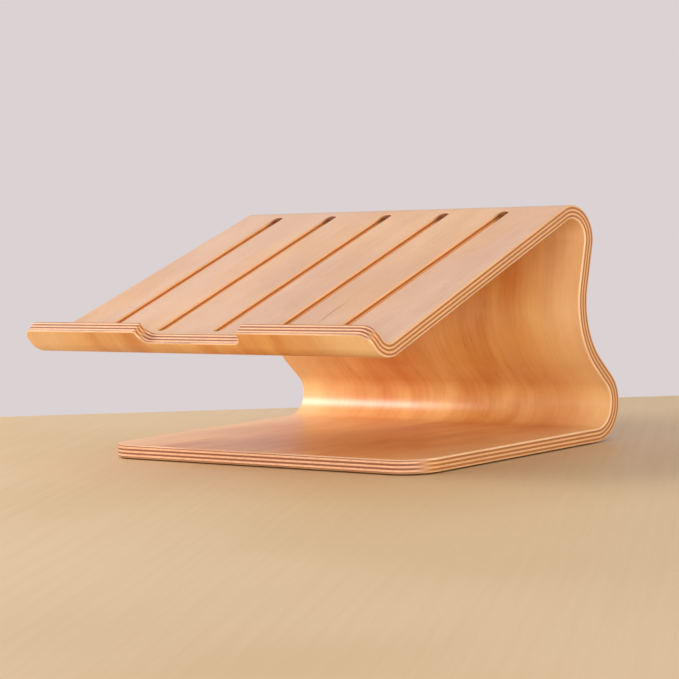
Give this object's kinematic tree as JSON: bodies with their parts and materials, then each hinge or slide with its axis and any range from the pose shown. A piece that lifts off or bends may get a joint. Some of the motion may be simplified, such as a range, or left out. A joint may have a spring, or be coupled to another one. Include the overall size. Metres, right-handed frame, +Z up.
{
  "type": "laptop stand",
  "caption": "Bent plywood laptop stand: one moulded board folded from a flat base through a waisted upright to a sloping slotted deck with an upturned, notched front lip",
  "frame": {"origin": "middle of the footprint's width and depth, at the height of the table", "axes": "+X across the stand to the right as seen from the front, +Y from the lip to the back, +Z up"},
  "size_m": [0.273, 0.2366, 0.141],
  "materials": {
    "inner_face_veneer": "satin clear lacquer over golden birch, grain along the bends",
    "outer_face_veneer": "satin clear lacquer over pale birch, grain along the bends",
    "long_veneer": "sealed birch veneer, grain along the bends",
    "cross_veneer": "sealed birch veneer, grain across the bends",
    "pad_rubber": "matt"
  },
  "bodies": {
    "root": {"veneer_1_inner_face": "inner_face_veneer", "veneer_2_cross": "cross_veneer", "veneer_3_long": "long_veneer", "veneer_4_core": "cross_veneer", "veneer_5_long": "long_veneer", "veneer_6_cross": "cross_veneer", "veneer_7_outer_face": "outer_face_veneer", "pad_front_left": "pad_rubber", "pad_front_right": "pad_rubber", "pad_rear_left": "pad_rubber", "pad_rear_right": "pad_rubber"}
  },
  "joints": []
}
